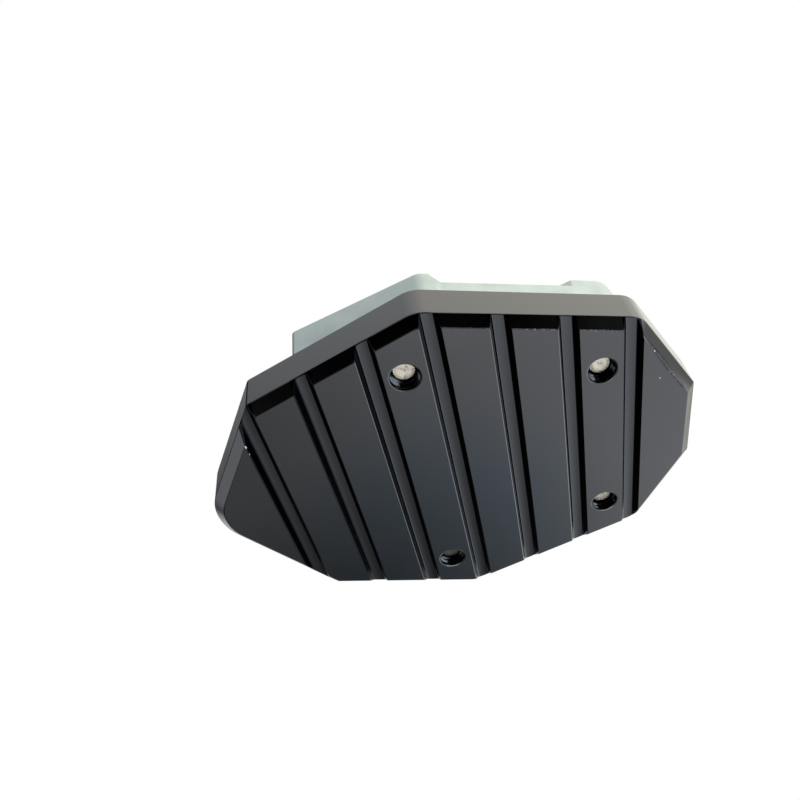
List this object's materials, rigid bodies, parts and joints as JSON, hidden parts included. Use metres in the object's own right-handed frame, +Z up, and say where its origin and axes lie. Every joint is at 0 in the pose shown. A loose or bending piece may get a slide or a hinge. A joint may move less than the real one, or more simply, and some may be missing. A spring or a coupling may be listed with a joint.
{
  "type": "kickstand foot enlarger",
  "caption": "Grooved aluminium ground plate with a bolted clamp plate that traps a side stand's foot and spreads its load on soft ground.",
  "frame": {"origin": "centre of the bounding box at the ground face", "axes": "+X along the plate from the leg end to the far end, +Y across it, +Z up from the ground"},
  "size_m": [0.1076, 0.0814, 0.018],
  "materials": {
    "black_plate": "satin black anodised, machined",
    "silver_plate": "clear anodised, fine bead blast",
    "screw_steel": "turned stainless"
  },
  "bodies": {
    "root": {"base_plate": "black_plate", "clamp_plate": "silver_plate", "screw_rear_left": "screw_steel", "screw_rear_right": "screw_steel", "screw_front_left": "screw_steel", "screw_front_right": "screw_steel"}
  },
  "joints": []
}
